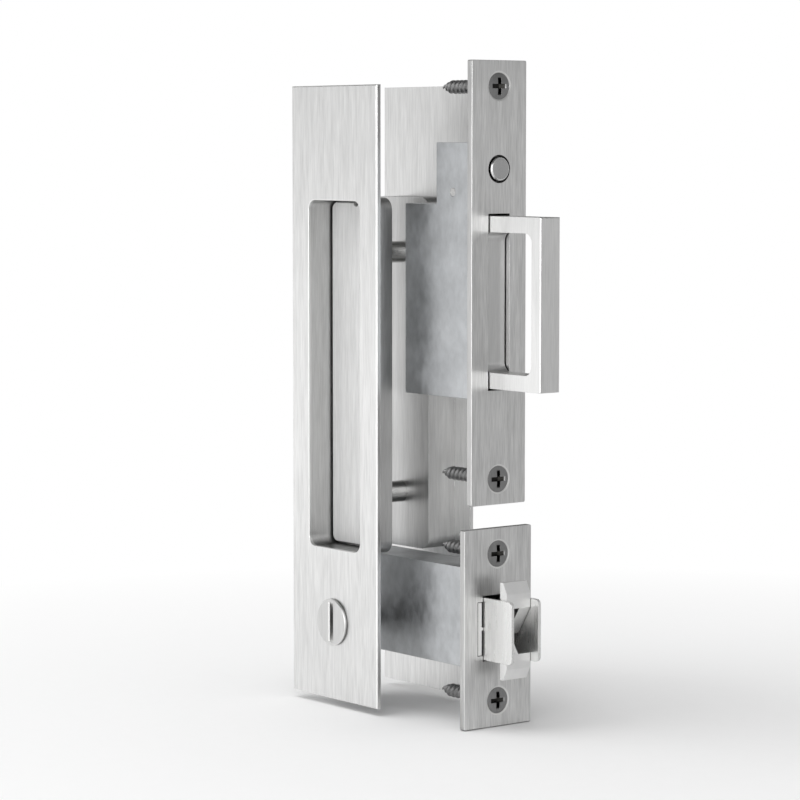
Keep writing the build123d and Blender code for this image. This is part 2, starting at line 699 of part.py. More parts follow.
def upper_claw():
    """Full-width hook head on a half-width arm that swings on the pivot pin."""
    half = CHEEK_INNER / 2 - CLAW_PLAY
    head = make_face(
        Polyline(
            (CLAW_FACE, CLAW_FACE_FOOT),
            (CLAW_FACE, CLAW_FACE_TOP),
            (CLAW_TIP_FRONT, CLAW_TIP_HEIGHT),
            (CLAW_TIP_BACK, CLAW_TIP_HEIGHT),
            (CLAW_TIP_BACK, CLAW_NECK_HEIGHT),
            close=True,
        )
    )
    eye = Pos(CLAW_PIVOT, 0) * Circle(CLAW_EYE_RADIUS)
    root = Line((CLAW_FACE, CLAW_FACE_FOOT), (CLAW_TIP_BACK, CLAW_NECK_HEIGHT))
    arm = make_hull(eye.edges() + [root])
    claw = prism_y(head, -half, half) + prism_y(arm, ARM_GAP / 2, half)
    return claw - rod_y(CLAW_PIN_RADIUS + RUN, -half, half, CLAW_PIVOT, 0)


def lower_claw():
    """The upper claw turned over, so that the arms lie side by side."""
    return Rot(180, 0, 0) * upper_claw()


def claw_pivot_pin():
    """Pin seated in blind holes of the two cheeks."""
    end = CHEEK_INNER / 2 + CHEEK_THICK / 2 - SEAT
    return rod_y(CLAW_PIN_RADIUS, -end, end, CLAW_PIVOT, 0)


def edge_plate():
    """Edge pull's faceplate with the button hole and the pull's opening."""
    plate = face_plate(EDGE_FACE_WIDTH, EDGE_FACE_HEIGHT, EDGE_RISE, EDGE_SCREW_SPACING)
    plate -= rod_x(BUTTON_HOLE_RADIUS, -FACE_THICK, 0, 0, BUTTON_RISE)
    half = PULL_THICK / 2 + PULL_GAP_SIDE
    tall = PULL_HEIGHT / 2 + PULL_GAP_END
    plate -= prism_x(rect(-half, half, PULL_RISE - tall, PULL_RISE + tall), -FACE_THICK, 0)
    depth = HOUSING_SCREW_GRIP + EASE
    for z in FLANGE_ZS:
        plate -= rod_x(HOUSING_SCREW_RADIUS + SEAT, -FACE_THICK, depth - FACE_THICK, 0, z)
    return plate


def edge_housing():
    """Box behind the edge plate: the pull's bay, the catch chamber and two fixing flanges."""
    low = PULL_RISE - HOUSING_END
    high = PULL_RISE + HOUSING_END
    wall = HOUSING_WALL
    outside = rect(-HOUSING_DEPTH - wall, -FACE_THICK, low - wall, high + wall)
    outside += rect(-CHAMBER_DEPTH - wall, -FACE_THICK, high, CHAMBER_END + wall)
    inside = rect(-HOUSING_DEPTH, -FACE_THICK, low, high)
    inside += rect(-CHAMBER_DEPTH, -FACE_THICK, high - wall, CHAMBER_END)
    box = prism_y(outside, -HOUSING_HALF - wall, HOUSING_HALF + wall)
    flange_low = low - wall - FLANGE_LENGTH
    flange_high = CHAMBER_END + wall + FLANGE_LENGTH
    outer = HOUSING_HALF + wall
    flange = rect(-outer, outer, flange_low, flange_high, HOUSING_SCREW_HEAD_RADIUS)
    box += prism_x(flange, -FACE_THICK - wall, -FACE_THICK)
    box -= prism_y(inside, -HOUSING_HALF, HOUSING_HALF)
    web = rect(-HOUSING_HALF, HOUSING_HALF, BUTTON_RISE - WEB_DROP, CHAMBER_END)
    box += prism_x(web, WEB_FRONT - WEB_THICK, WEB_FRONT)
    box -= rod_x(STEM_RADIUS + RUN, WEB_FRONT - WEB_THICK, WEB_FRONT, 0, BUTTON_RISE)
    for z in PULL_SPRING_ZS:
        box += rod_x(PEG_RADIUS, -HOUSING_DEPTH, PEG_LENGTH - HOUSING_DEPTH, 0, z)
    for z in FLANGE_ZS:
        box -= rod_x(HOUSING_SCREW_RADIUS + SEAT, -FACE_THICK - wall, -FACE_THICK, 0, z)
    return box - rod_y(CATCH_PIN_RADIUS + SEAT, -outer, outer, LEVER_X, LEVER_Z)


def housing_screw(z):
    """Small pan-head screw that holds the housing to the back of the plate."""
    seat = -FACE_THICK - HOUSING_WALL
    screw = rod_x(HOUSING_SCREW_HEAD_RADIUS, seat - HOUSING_SCREW_HEAD, seat, 0, z)
    screw = ease_front(screw, -Axis.X)
    return screw + rod_x(HOUSING_SCREW_RADIUS, seat, HOUSING_SCREW_GRIP - FACE_THICK, 0, z)


def pull_handle():
    """Rectangular loop that springs out, with a crosshead that stays behind the plate."""
    half = PULL_HEIGHT / 2
    loop = rect(HEAD_BACK, PULL_REACH, PULL_RISE - half, PULL_RISE + half)
    window = rect(
        -PULL_WINDOW_SINK,
        PULL_REACH - PULL_END_BAR,
        PULL_RISE - half + PULL_ARM,
        PULL_RISE + half - PULL_ARM,
        PULL_WINDOW_CORNER,
    )
    pull = prism_y(loop, -PULL_THICK / 2, PULL_THICK / 2)
    pull = ease_front(pull, Axis.X)
    pull -= prism_y(window, -PULL_THICK / 2, PULL_THICK / 2)
    side = HOUSING_HALF - SLIDE
    tall = half + HEAD_EAR
    pull += prism_x(rect(-side, side, PULL_RISE - tall, PULL_RISE + tall), HEAD_BACK, HEAD_FRONT)
    groove = CATCH_CHANNEL / 2
    pull -= prism_x(rect(-groove, groove, PULL_TOP, PULL_RISE + tall), HEAD_BACK, HEAD_FRONT)
    notch_front = NOSE_FRONT + PULL_REACH + SLIDE
    notch_back = notch_front - NOSE_LENGTH - 2 * SLIDE
    notch = rect(-groove, groove, PULL_TOP - CATCH_NOTCH_DEPTH, PULL_TOP)
    return pull - prism_x(notch, notch_back, notch_front)


def coil_spring(radius, wire, turns, x_low, x_high, z):
    """Compression spring along X between two seats."""
    length = x_high - x_low - 2 * wire
    path = Helix(length / turns, length, radius)
    section = Plane(origin=path @ 0, z_dir=path % 0) * Circle(wire)
    coil = sweep(section, path, is_frenet=True)
    return Pos(x_low + wire, 0, z) * Rot(0, 90, 0) * coil


def pull_spring(z):
    """Spring that drives the pull out."""
    start = -HOUSING_DEPTH + SEAT
    end = HEAD_BACK - SEAT
    return coil_spring(PULL_SPRING_RADIUS, PULL_SPRING_WIRE, PULL_SPRING_TURNS, start, end, z)


def release_button():
    """Round button with a stop flange and a domed stem."""
    flange_front = FLANGE_BACK + BUTTON_FLANGE
    dome = STEM_END + STEM_RADIUS
    outline = make_face(
        [
            Polyline(
                (BUTTON_PROUD, 0),
                (BUTTON_PROUD, BUTTON_RADIUS),
                (flange_front, BUTTON_RADIUS),
                (flange_front, BUTTON_FLANGE_RADIUS),
                (FLANGE_BACK, BUTTON_FLANGE_RADIUS),
                (FLANGE_BACK, STEM_RADIUS),
                (dome, STEM_RADIUS),
            ),
            RadiusArc((dome, STEM_RADIUS), (STEM_END, 0), -STEM_RADIUS),
            Line((STEM_END, 0), (BUTTON_PROUD, 0)),
        ]
    )
    button = revolve(outline, Axis.X)
    rim = button.faces().sort_by(Axis.X)[-1].edges()
    return Pos(0, 0, BUTTON_RISE) * fillet(rim, BUTTON_ROUND)


def button_spring():
    """Spring between the button's flange and the housing's web."""
    start = WEB_FRONT + SEAT
    end = FLANGE_BACK - SEAT
    return coil_spring(
        BUTTON_SPRING_RADIUS, BUTTON_SPRING_WIRE, BUTTON_SPRING_TURNS, start, end, BUTTON_RISE
    )


def catch_lever():
    """Bell crank: the button pushes its upper arm and lifts its nose off the pull."""
    nose_foot = PULL_TOP + NOSE_RIDE
    nose_back = NOSE_FRONT - NOSE_LENGTH
    shoulder = PULL_TOP + HEAD_EAR + 3 * SLIDE
    profile = Pos(LEVER_X, LEVER_Z) * Circle(LEVER_HUB_RADIUS)
    profile += rect(
        LEVER_FRONT - LEVER_ARM_WIDTH, LEVER_FRONT, LEVER_Z, BUTTON_RISE + LEVER_ARM_TOP
    )
    profile += make_face(
        Polyline(
            (LEVER_X, LEVER_Z + LEVER_HUB_RADIUS),
            (NOSE_FRONT, shoulder + NOSE_LENGTH / 2),
            (NOSE_FRONT, nose_foot),
            (nose_back, nose_foot),
            (nose_back, shoulder),
            (LEVER_X, LEVER_Z - LEVER_HUB_RADIUS),
            close=True,
        )
    )
    lever = prism_y(profile, -LEVER_THICK / 2, LEVER_THICK / 2)
    return lever - rod_y(CATCH_PIN_RADIUS + RUN, -LEVER_THICK, LEVER_THICK, LEVER_X, LEVER_Z)


def catch_pin():
    """Pin across the housing that the catch lever turns on."""
    end = HOUSING_HALF + HOUSING_WALL
    return rod_y(CATCH_PIN_RADIUS, -end, end, LEVER_X, LEVER_Z)


def main():
    """Builds every node and writes its file."""
    spigot_hole = rod_y(POST_SPIGOT_RADIUS + SEAT, PANEL_BACK, CUP_BACK, FLUSH_X, 0)
    fixing_hole = mirror(turned_y(fixing_profile(SEAT), FLUSH_X, 0), about=Plane.XZ)
    nodes = {
        "outside_plate": [flush_plate(spigot_hole)],
        "outside_panel": [recess_panel()],
        "coin_turn": [coin_turn()],
        "outside_turn_clip": [turn_clip()],
        "fixing_posts": [fixing_post(z) for z in POST_ZS],
        "inside_plate": [other_side(flush_plate(fixing_hole))],
        "inside_panel": [other_side(recess_panel())],
        "thumb_turn": [thumb_turn()],
        "inside_turn_clip": [other_side(turn_clip())],
        "fixing_screws": [fixing_screw(z) for z in POST_ZS],
        "spindle": [spindle()],
        "lock_faceplate": [lock_faceplate()],
        "bolt_guides": [bolt_guide(side) for side in (-1, 1)],
        "lock_screws": screw_pair(0, LOCK_SCREW_SPACING),
        "lock_case": [lock_case()],
        "case_cover": [case_cover()],
        "case_pillars": [case_pillar(x, z) for x, z in pillar_places()],
        "case_screws": [case_screw(x, z) for x, z in pillar_places()],
        "lock_hub": [lock_hub()],
        "detent_leaf": [detent_leaf()],
        "bolt_cheek_outside": [bolt_cheek(-1)],
        "bolt_cheek_inside": [bolt_cheek(1)],
        "bolt_tail": [bolt_tail()],
        "bolt_rivets": [bolt_rivet(z) for z in rivet_heights()],
        "claw_pivot_pin": [claw_pivot_pin()],
        "upper_claw": [upper_claw()],
        "lower_claw": [lower_claw()],
        "edge_plate": [edge_plate()],
        "edge_screws": screw_pair(EDGE_RISE, EDGE_SCREW_SPACING),
        "edge_housing": [edge_housing()],
        "housing_screws": [housing_screw(z) for z in FLANGE_ZS],
        "pull_handle": [pull_handle()],
        "pull_springs": [pull_spring(z) for z in PULL_SPRING_ZS],
        "release_button": [release_button()],
        "button_spring": [button_spring()],
        "catch_lever": [catch_lever()],
        "catch_pin": [catch_pin()],
    }
    os.makedirs("parts", exist_ok=True)
    for name, pieces in nodes.items():
        solids = [solid for piece in pieces for solid in piece.solids()]
        shape = solids[0] if len(solids) == 1 else Compound(children=solids)
        export_step(shape, f"parts/{name}.step")


if __name__ == "__main__":
    main()
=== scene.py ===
"""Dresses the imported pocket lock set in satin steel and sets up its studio."""

import logging
import math
from dataclasses import dataclass, field
from enum import Enum
from typing import Any, ClassVar

import bpy
import numpy as np
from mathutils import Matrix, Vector

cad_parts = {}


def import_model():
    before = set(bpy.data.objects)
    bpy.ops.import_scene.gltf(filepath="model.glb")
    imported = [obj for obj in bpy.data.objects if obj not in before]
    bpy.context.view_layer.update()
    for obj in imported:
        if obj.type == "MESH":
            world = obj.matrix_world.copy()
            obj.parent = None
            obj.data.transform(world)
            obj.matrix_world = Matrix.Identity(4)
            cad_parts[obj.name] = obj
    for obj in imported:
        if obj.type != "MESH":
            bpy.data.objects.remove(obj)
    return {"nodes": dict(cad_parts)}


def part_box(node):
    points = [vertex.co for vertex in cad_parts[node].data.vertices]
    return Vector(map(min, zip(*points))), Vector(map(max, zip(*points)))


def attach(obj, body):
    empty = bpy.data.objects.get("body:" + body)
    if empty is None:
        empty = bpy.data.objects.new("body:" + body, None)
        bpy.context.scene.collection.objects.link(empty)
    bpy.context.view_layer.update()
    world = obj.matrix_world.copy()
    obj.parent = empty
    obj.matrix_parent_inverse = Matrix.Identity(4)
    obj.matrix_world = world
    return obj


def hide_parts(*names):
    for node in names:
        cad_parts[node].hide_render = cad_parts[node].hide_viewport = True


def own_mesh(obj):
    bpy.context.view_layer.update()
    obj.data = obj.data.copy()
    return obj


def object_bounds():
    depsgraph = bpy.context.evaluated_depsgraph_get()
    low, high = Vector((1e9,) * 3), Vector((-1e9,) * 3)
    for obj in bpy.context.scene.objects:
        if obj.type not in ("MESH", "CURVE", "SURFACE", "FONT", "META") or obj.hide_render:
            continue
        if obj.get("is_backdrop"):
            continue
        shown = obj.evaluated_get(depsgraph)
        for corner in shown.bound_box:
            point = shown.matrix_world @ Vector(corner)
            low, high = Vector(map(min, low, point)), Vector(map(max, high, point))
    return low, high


LOG = logging.getLogger("pocket_lock")
MM = 0.001
FLOOR_GAP = 0.2 * MM
WHITE = (1.0, 1.0, 1.0, 1.0)
Socket = bpy.types.NodeSocket
Color = tuple[float, float, float]
Point = tuple[float, float, float]
Span = tuple[float, float]


class PartAxis(Enum):
    """The part's own axes, which brushing, painted rim highlights and painted shade follow."""

    X = 0
    Y = 1
    Z = 2


class ScrewRow(Enum):
    """The two pairs of wood screws, by the height of their middle and their spacing in millimetres."""

    LOCK = (0.0, 53.1)
    EDGE = (123.2, 139.6)


Slab = tuple[PartAxis, float, float]


@dataclass(frozen=True)
class SteelFinish:
    """One steel finish: its colours, gloss, brushing, wear, painted highlights and painted shade. Colours are
    linear, lengths are metres.

    Attributes:
        name: the material's name.
        base: the steel's own colour.
        worn_and_highlight: its colour on edges that wear polishes bright, and the colour of the painted rim
            highlights.
        roughness: the middle of its roughness.
        grain: how far the brushing darkens the colour. It lightens it half as far.
        across: lines per metre across the brushing.
        along: lines per metre along the brushing.
        axis: axis that the brushing runs along.
        rough_spread: how far apart the brushing sets the least and the most roughness.
        relief: strength of the brushing's bump.
        smudge: roughness that hand smudges add.
        polish: roughness that the edges lose where wear polishes them.
        edge_radius: rounding of sharp edges in the shading.
        gap_shade_reach: how near a neighbour is where painted shade darkens the gap between the two.
        metallic: share of bare metal.
        shade_box: spans along the axes that together bound the surfaces that get painted shade.
        shade_tone: what the colour is multiplied by on those surfaces, as painted shade.
        upward_shade_tone: the same where such a surface faces up.
        highlight_axis: axis that the piece's fronts face. The bevels beside the fronts then get a painted
            highlight.
        blackened_span: least and greatest X of a stretch that is coloured near black.
    """

    name: str
    base: Color
    worn_and_highlight: Color
    roughness: float
    grain: float
    across: float = 2600.0
    along: float = 130.0
    axis: PartAxis = PartAxis.Z
    rough_spread: float = 0.12
    relief: float = 0.10
    smudge: float = 0.05
    polish: float = 0.12
    edge_radius: float = 0.3 * MM
    gap_shade_reach: float = 1.2 * MM
    metallic: float = 1.0
    shade_box: tuple[Slab, ...] = ()
    shade_tone: float = 0.83
    upward_shade_tone: float = 0.36
    highlight_axis: PartAxis | None = None
    blackened_span: Span | None = None


# Near black: the colour of the painted shade in gaps, and of the blackened stretches.
NEAR_BLACK: Color = (0.030, 0.029, 0.027)
# Boxes of painted shade: the flush plate's recess walls, the faces behind a faceplate's front, the turn's
# side and slot, and the pull behind the window.
RECESS_WALLS: tuple[Slab, ...] = (
    (PartAxis.X, -84.7 * MM, -50.1 * MM),
    (PartAxis.Y, -21.9 * MM, 21.9 * MM),
    (PartAxis.Z, 21.4 * MM, 153.5 * MM),
)
BEHIND_FACE: tuple[Slab, ...] = ((PartAxis.X, -40.0 * MM, -0.1 * MM),)
BEHIND_DISC: tuple[Slab, ...] = ((PartAxis.Y, -23.7 * MM, 23.7 * MM),)
BEHIND_WINDOW: tuple[Slab, ...] = ((PartAxis.X, -40.0 * MM, -1.6 * MM),)

# Painted shade on the recess walls, darkest on the one that faces up, and a painted highlight on the rims.
PLATE_SATIN = SteelFinish(
    "plate_satin", (0.760, 0.760, 0.755), (0.86, 0.86, 0.85), roughness=0.36, grain=0.18,
    gap_shade_reach=2.4 * MM, shade_box=RECESS_WALLS, highlight_axis=PartAxis.Y,
)
# Painted shade on the faces behind the front, and a painted highlight on the front's rims.
FACE_SATIN = SteelFinish(
    "face_satin", (0.760, 0.760, 0.755), (0.84, 0.84, 0.83), roughness=0.36, grain=0.26,
    edge_radius=0.15 * MM, gap_shade_reach=2.4 * MM, shade_box=BEHIND_FACE, shade_tone=0.72, upward_shade_tone=0.72,
    highlight_axis=PartAxis.X,
)
PANEL_SATIN = SteelFinish(
    "panel_satin", (0.812, 0.812, 0.807), (0.90, 0.90, 0.89), roughness=0.50, grain=0.16,
    edge_radius=0.15 * MM, gap_shade_reach=2.4 * MM, metallic=0.15,
)
# Painted shade on the turn's side and in its slot, and a painted highlight on its rims.
TURN_SATIN = SteelFinish(
    "turn_satin", (0.650, 0.650, 0.645), (0.78, 0.78, 0.77), roughness=0.36, grain=0.12,
    edge_radius=0.15 * MM, gap_shade_reach=3.0 * MM, shade_box=BEHIND_DISC, shade_tone=0.56, upward_shade_tone=0.56,
    highlight_axis=PartAxis.Y,
)
# Painted shade on the pull behind the window, and a stretch further in coloured near black.
PULL_SATIN = SteelFinish(
    "pull_satin", (0.800, 0.800, 0.795), (0.86, 0.86, 0.85), roughness=0.34, grain=0.12,
    edge_radius=0.12 * MM, shade_box=BEHIND_WINDOW, upward_shade_tone=0.83, blackened_span=(-60.0 * MM, -2.6 * MM),
)
# A painted highlight on the button's rims.
BUTTON_SATIN = SteelFinish(
    "button_satin", (0.460, 0.460, 0.460), (0.86, 0.86, 0.86), roughness=0.26, grain=0.10, highlight_axis=PartAxis.X
)
GUIDE_SATIN = SteelFinish(
    "guide_satin", (0.880, 0.880, 0.875), (0.92, 0.92, 0.91), roughness=0.44, grain=0.08, edge_radius=0.1 * MM
)
# The bolt and the claws reach far for the painted gap shade, which paints shade into the space between the
# cheeks.
BOLT_SATIN = SteelFinish(
    "bolt_satin", (0.855, 0.855, 0.845), (0.92, 0.92, 0.91), roughness=0.30, grain=0.10,
    across=2400.0, along=90.0, gap_shade_reach=12.5 * MM, metallic=0.85,
)
CLAW_STEEL = SteelFinish(
    "claw_steel", (0.920, 0.920, 0.915), (0.95, 0.95, 0.94), roughness=0.44, grain=0.05,
    across=320.0, along=60.0, rough_spread=0.04, relief=0.02, edge_radius=0.08 * MM, gap_shade_reach=12.5 * MM,
)
SCREW_STEEL = SteelFinish(
    "screw_steel", (0.290, 0.290, 0.290), (0.44, 0.44, 0.44), roughness=0.36, grain=0.16,
    across=1700.0, along=500.0, edge_radius=0.15 * MM, gap_shade_reach=2.4 * MM, blackened_span=(-2.6 * MM, -0.25 * MM),
)
ZINC_STEEL = SteelFinish(
    "zinc_steel", (0.560, 0.575, 0.590), (0.72, 0.73, 0.74), roughness=0.38, grain=0.22,
    across=420.0, along=260.0, relief=0.2, smudge=0.16,
)
PIN_STEEL = SteelFinish(
    "pin_steel", (0.560, 0.560, 0.555), (0.76, 0.76, 0.75), roughness=0.24, grain=0.16,
    across=3200.0, along=40.0, axis=PartAxis.Y,
)
SPRING_STEEL = SteelFinish(
    "spring_steel", (0.220, 0.215, 0.205), (0.38, 0.37, 0.36), roughness=0.30, grain=0.18,
    across=2400.0, along=300.0, axis=PartAxis.X,
)


def rgba(color: Color, factor: float = 1.0) -> tuple[float, ...]:
    """A colour times a factor, with full alpha."""
    return (*[channel * factor for channel in color], 1.0)


def grey(tone: float) -> tuple[float, ...]:
    """A neutral colour with full alpha."""
    return rgba((tone, tone, tone))


class NodeWriter:
    """Adds nodes and links to one shader tree with short calls.

    Attributes:
        MIX_INPUTS: numbers of the Mix node's mask and its two colours. Its sockets share their names.
        MIX_RESULT: number of its colour output.
    """

    MIX_INPUTS: ClassVar[tuple[int, int, int]] = (0, 6, 7)
    MIX_RESULT: ClassVar[int] = 2

    def __init__(self, tree: bpy.types.NodeTree) -> None:
        """Keeps the tree that the nodes go into."""
        self.tree = tree

    def add(self, kind: str, inputs: dict[Any, Any] | None = None, **settings: Any) -> bpy.types.Node:
        """Adds one node.

        Args:
            kind: Blender's node type.
            inputs: socket name or number to a plain value or to another node's output.
            settings: the node's own properties.

        Returns:
            The new node.
        """
        node = self.tree.nodes.new(kind)
        for key, value in settings.items():
            setattr(node, key, value)
        for key, value in (inputs or {}).items():
            if isinstance(value, Socket):
                self.tree.links.new(value, node.inputs[key])
            else:
                node.inputs[key].default_value = value
        return node

    def group(self, tree: bpy.types.NodeTree, **inputs: Any) -> Any:
        """Places a node group with its inputs by name and returns its outputs."""
        return self.add("ShaderNodeGroup", inputs, node_tree=tree).outputs

    def math(self, operation: str, *values: Any) -> Socket:
        """Adds a Math node and returns its result."""
        return self.add("ShaderNodeMath", dict(enumerate(values)), operation=operation).outputs[0]

    def vector(self, operation: str, *values: Any) -> Any:
        """Adds a Vector Math node and returns its outputs."""
        return self.add("ShaderNodeVectorMath", dict(enumerate(values)), operation=operation).outputs

    def split(self, vector: Socket) -> Any:
        """Adds a Separate XYZ node and returns its three outputs."""
        return self.add("ShaderNodeSeparateXYZ", {0: vector}).outputs

    def ramp(self, value: Any, span: Span, onto: Span = (0.0, 1.0)) -> Socket:
        """Adds a Map Range node, clamped, and returns its result.

        Args:
            value: what is mapped.
            span: the values that map to the two ends.
            onto: the two ends.

        Returns:
            The mapped value.
        """
        inputs = {"Value": value}
        inputs.update(zip(("From Min", "From Max", "To Min", "To Max"), (*span, *onto)))
        return self.add("ShaderNodeMapRange", inputs, clamp=True).outputs[0]

    def window(self, value: Socket, span: Span, fade: float) -> Socket:
        """Makes a mask that is 1 within a span and falls to 0 at its two ends.

        Args:
            value: what is tested.
            span: the lower and the upper end.
            fade: how far inside each end the mask reaches 1.

        Returns:
            The mask.
        """
        low, high = span
        rise = self.ramp(value, (low, low + fade))
        fall = self.ramp(value, (high, high - fade))
        return self.math("MULTIPLY", rise, fall)

    def blend(self, mask: Any, first: Any, second: Any, kind: str = "MIX") -> Socket:
        """Adds a colour Mix node and returns its colour."""
        inputs = dict(zip(self.MIX_INPUTS, (mask, first, second)))
        return self.add("ShaderNodeMix", inputs, data_type="RGBA", blend_type=kind).outputs[self.MIX_RESULT]


def blank_material(name: str) -> tuple[bpy.types.Material, NodeWriter]:
    """Makes a material with an empty tree.

    Args:
        name: the material's name.

    Returns:
        The material and the writer of its tree.
    """
    material = bpy.data.materials.new(name)
    material.use_nodes = True
    material.node_tree.nodes.clear()
    return material, NodeWriter(material.node_tree)


def add_object(name: str, data: Any) -> bpy.types.Object:
    """Adds an object to the scene, at the origin.

    Args:
        name: the object's name.
        data: its mesh, lamp or camera.

    Returns:
        The object.
    """
    holder = bpy.data.objects.new(name, data)
    bpy.context.scene.collection.objects.link(holder)
    return holder


@dataclass
class EffectGroups:
    """The shader node groups that every steel finish shares, and the values that shape them.

    Attributes:
        hair_span: noise that gives the fine streaks their least and their most.
        hair_detail: finer layers of that noise.
        swath_span: noise that gives the broad bands their least and their most.
        swath_detail: finer layers of that noise.
        swath_stretch: scale of the bands beside the streaks, by axis.
        bend_span: agreement of the plain and the rounded normal where wear is least and most.
        patch_scale: patches of wear per metre.
        patch_detail: finer layers of the patches.
        patch_span: noise where the patches are least and most worn.
        patch_wear: the wear there.
        cloud_scale: smudges per metre.
        cloud_detail: finer layers of the smudges.
        cloud_roughness: strength of those layers.
        cloud_swirl: how far the smudges are drawn out of shape.
        cloud_span: noise where a smudge begins and is full.
        sky_span: open share of the sky where the painted gap shade begins and is full.
        sky_samples: rays that look for the sky.
    """

    hair_span: Span = (0.30, 0.70)
    hair_detail: float = 3.0
    swath_span: Span = (0.32, 0.68)
    swath_detail: float = 2.0
    swath_stretch: Point = (0.2, 0.2, 0.35)
    bend_span: Span = (0.995, 0.80)
    patch_scale: float = 420.0
    patch_detail: float = 3.0
    patch_span: Span = (0.35, 0.60)
    patch_wear: Span = (0.45, 1.0)
    cloud_scale: float = 46.0
    cloud_detail: float = 5.0
    cloud_roughness: float = 0.62
    cloud_swirl: float = 0.8
    cloud_span: Span = (0.46, 0.72)
    sky_span: Span = (0.46, 0.14)
    sky_samples: int = 8

    def __post_init__(self) -> None:
        """Builds the four groups once."""
        self.grain = self.brushed_grain()
        self.wear = self.edge_wear()
        self.smudge = self.hand_smudges()
        self.grime = self.painted_gap_shade()

    @staticmethod
    def start(name: str, inputs: dict[str, str], outputs: list[str]) -> tuple[Any, NodeWriter, Any, Any]:
        """Starts a shader node group whose outputs are plain values.

        Args:
            name: the group's name.
            inputs: input name to socket type.
            outputs: the outputs' names.

        Returns:
            The group, its writer, its input node's outputs and its output node's inputs.
        """
        group = bpy.data.node_groups.new(name, "ShaderNodeTree")
        for label, kind in inputs.items():
            group.interface.new_socket(label, in_out="INPUT", socket_type=kind)
        for label in outputs:
            group.interface.new_socket(label, in_out="OUTPUT", socket_type="NodeSocketFloat")
        write = NodeWriter(group)
        return group, write, write.add("NodeGroupInput").outputs, write.add("NodeGroupOutput").inputs

    def brushed_grain(self) -> bpy.types.NodeTree:
        """Fine streaks and broad bands that run along one axis.

        Noise is read at coordinates that are stretched along the grain, twice: once fine and once coarse.

        Returns:
            The group, with Grain and Band from 0 to 1.
        """
        group, write, given, out = self.start(
            "brushed_grain",
            {"Coordinates": "NodeSocketVector", "Stretch": "NodeSocketVector"},
            ["Grain", "Band"],
        )
        fine = write.vector("MULTIPLY", given["Coordinates"], given["Stretch"])[0]
        hair = write.add("ShaderNodeTexNoise", {"Vector": fine, "Scale": 1.0, "Detail": self.hair_detail})
        coarse = write.vector("MULTIPLY", fine, self.swath_stretch)[0]
        swath = write.add("ShaderNodeTexNoise", {"Vector": coarse, "Scale": 1.0, "Detail": self.swath_detail})
        group.links.new(write.ramp(hair.outputs["Fac"], self.hair_span), out["Grain"])
        group.links.new(write.ramp(swath.outputs["Fac"], self.swath_span), out["Band"])
        return group

    def edge_wear(self) -> bpy.types.NodeTree:
        """Mask of edges that hands and wear polish bright.

        It rises as the dot product of the plain and the rounded normal falls, and noise breaks it up.

        Returns:
            The group, with Wear from 0 to 1.
        """
        group, write, given, out = self.start(
            "edge_wear",
            {"Coordinates": "NodeSocketVector", "Plain": "NodeSocketVector", "Rounded": "NodeSocketVector"},
            ["Wear"],
        )
        dot = write.vector("DOT_PRODUCT", given["Plain"], given["Rounded"])["Value"]
        bend = write.ramp(dot, self.bend_span)
        noise = write.add(
            "ShaderNodeTexNoise",
            {"Vector": given["Coordinates"], "Scale": self.patch_scale, "Detail": self.patch_detail},
        )
        patches = write.ramp(noise.outputs["Fac"], self.patch_span, self.patch_wear)
        group.links.new(write.math("MULTIPLY", bend, patches), out["Wear"])
        return group

    def hand_smudges(self) -> bpy.types.NodeTree:
        """Faint clouds where fingers and cloths have passed.

        Returns:
            The group, with Smudge from 0 to 1.
        """
        group, write, given, out = self.start("hand_smudges", {"Coordinates": "NodeSocketVector"}, ["Smudge"])
        cloud = write.add("ShaderNodeTexNoise", {
            "Vector": given["Coordinates"], "Scale": self.cloud_scale, "Detail": self.cloud_detail,
            "Roughness": self.cloud_roughness, "Distortion": self.cloud_swirl,
        })
        group.links.new(write.ramp(cloud.outputs["Fac"], self.cloud_span), out["Smudge"])
        return group

    def painted_gap_shade(self) -> bpy.types.NodeTree:
        """Painted shade: near black in narrow gaps and between parts, where shade falls.

        The mask rises as the open share of the sky within the reach falls from about a half to a seventh.

        Returns:
            The group, with Gap Shade from 0 to 1, the painted shade's mask.
        """
        group, write, given, out = self.start("painted_gap_shade", {"Reach": "NodeSocketFloat"}, ["Grime"])
        sky = write.add("ShaderNodeAmbientOcclusion", {"Distance": given["Reach"]}, samples=self.sky_samples)
        group.links.new(write.ramp(sky.outputs["AO"], self.sky_span), out["Grime"])
        return group


